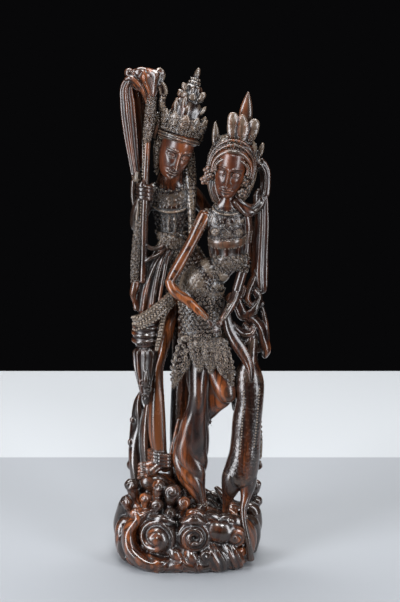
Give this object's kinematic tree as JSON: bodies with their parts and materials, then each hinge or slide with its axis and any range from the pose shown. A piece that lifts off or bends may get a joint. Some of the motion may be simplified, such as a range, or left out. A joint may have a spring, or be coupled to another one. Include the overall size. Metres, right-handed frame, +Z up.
{
  "type": "carved wooden statue",
  "caption": "Upright openwork wood carving of a crowned man with a bow and a crowned woman with a leaping deer, on a base of waves.",
  "frame": {"origin": "middle of the flat underside of the base, on the surface that it stands on", "axes": "+Z up along the carving, -Y the way the two figures face, +X the viewer's right when seen from the front"},
  "size_m": [0.1822, 0.1352, 0.6],
  "materials": {
    "ebony": "oiled and polished striped ebony, greyer and duller in the carved ornament"
  },
  "bodies": {
    "root": {"carved_statue": "ebony"}
  },
  "joints": []
}
